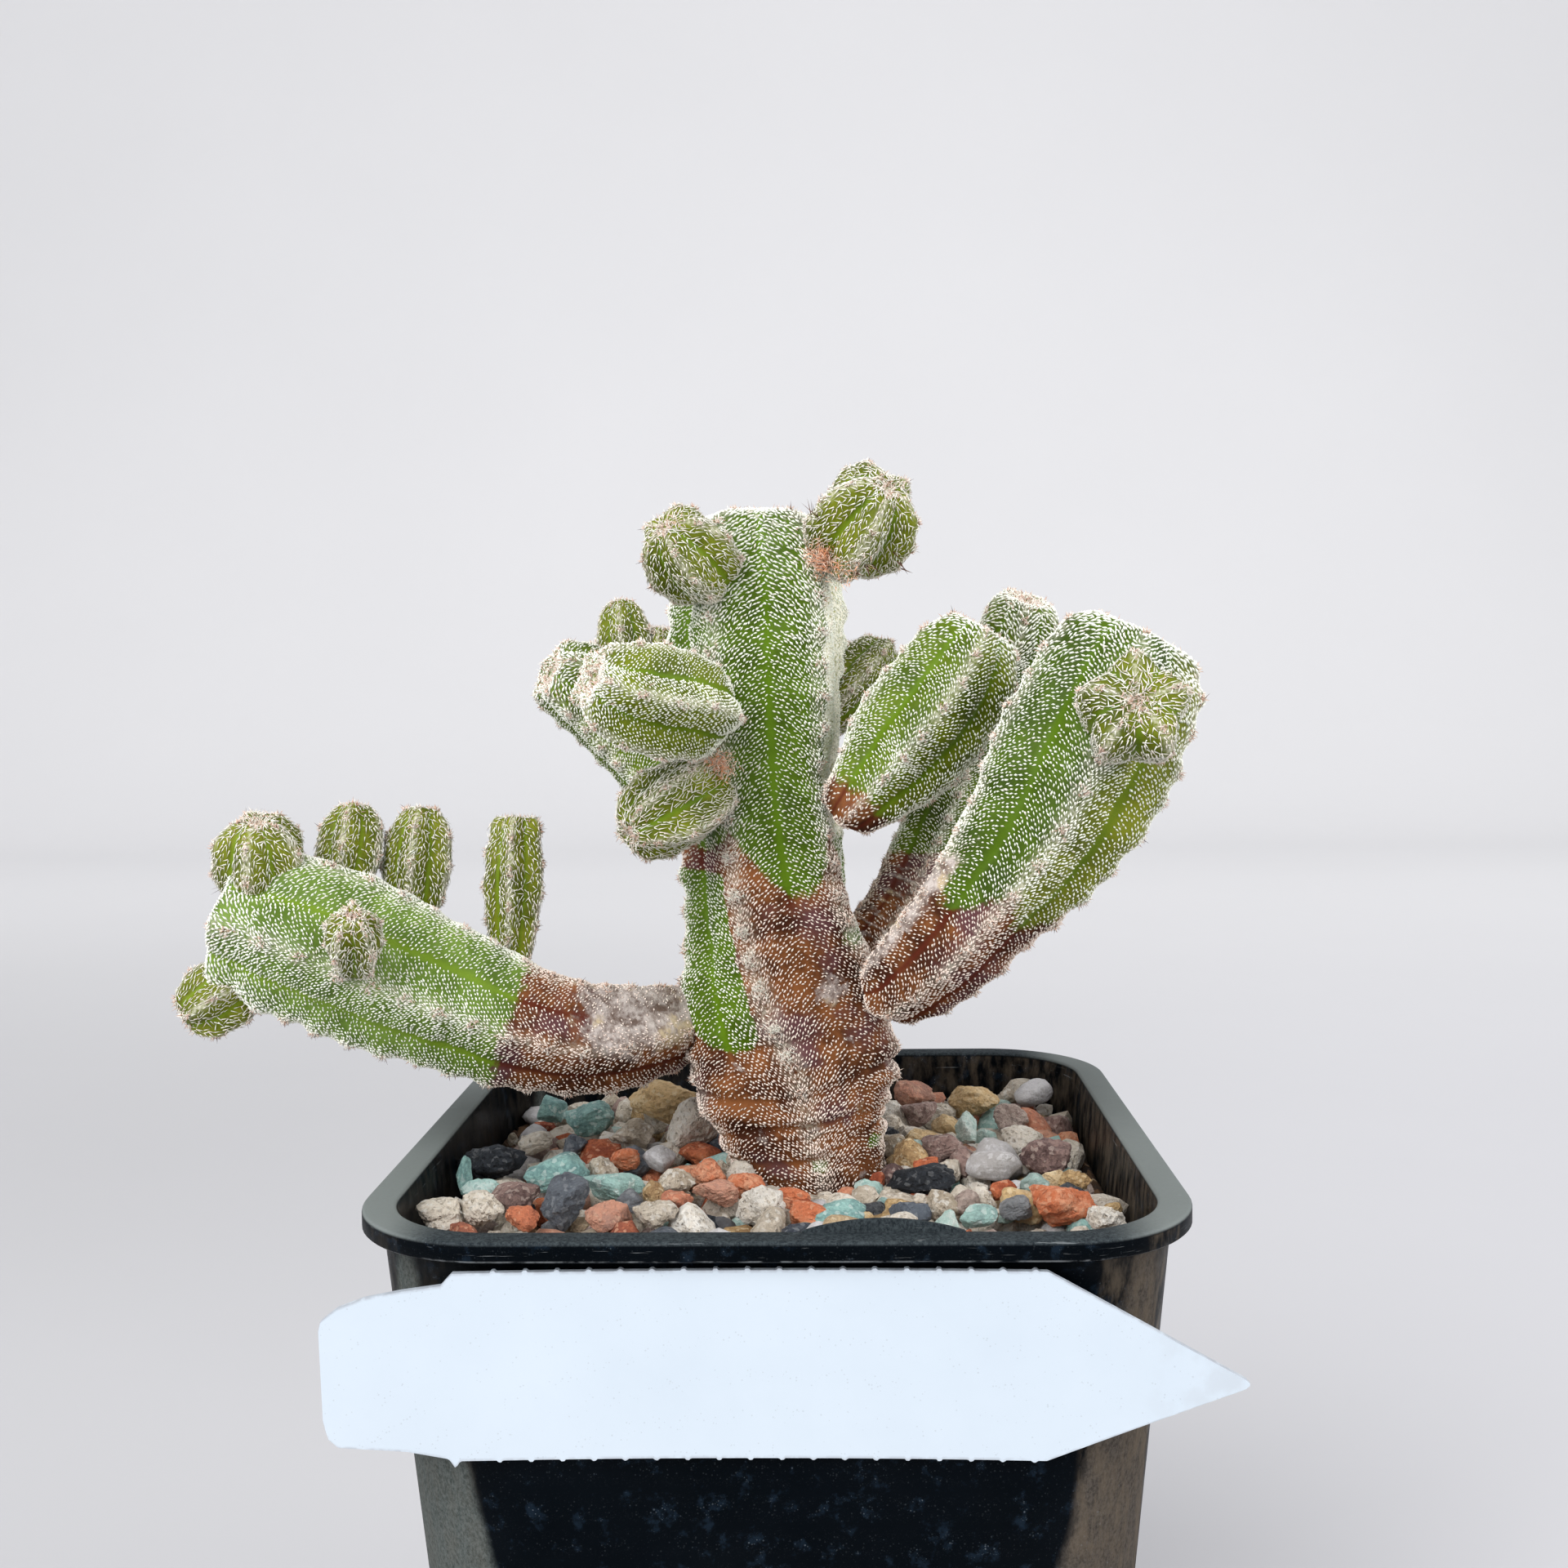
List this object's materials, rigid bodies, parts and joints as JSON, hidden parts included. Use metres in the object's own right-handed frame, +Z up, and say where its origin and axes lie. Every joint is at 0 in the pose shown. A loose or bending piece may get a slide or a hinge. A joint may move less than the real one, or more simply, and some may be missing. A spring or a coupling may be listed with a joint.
{
  "type": "potted branching cactus",
  "caption": "Branching five-ribbed bishop's cap cactus with small offsets, in a black square plastic pot of mixed grit with a blank pointed label.",
  "frame": {"origin": "centre of the pot's flat base", "axes": "+Z up along the pot's axis, +X to the right seen from the label's side, -Y towards the label and the viewer"},
  "size_m": [0.093, 0.07, 0.1444],
  "materials": {
    "pot_plastic": "satin",
    "mix": "matte",
    "grit": "matte",
    "main_stem_skin": "matte",
    "left_arm_skin": "matte",
    "right_arm_skin": "matte",
    "young_skin": "matte",
    "label_plastic": "satin"
  },
  "bodies": {
    "root": {"pot": "pot_plastic", "growing_mix": "mix", "top_grit": "grit", "main_stem": "main_stem_skin", "left_arm": "left_arm_skin", "right_arm": "right_arm_skin", "right_middle_arm": "young_skin", "back_left_arm": "young_skin", "back_right_arm": "right_arm_skin", "label": "label_plastic"}
  },
  "joints": []
}
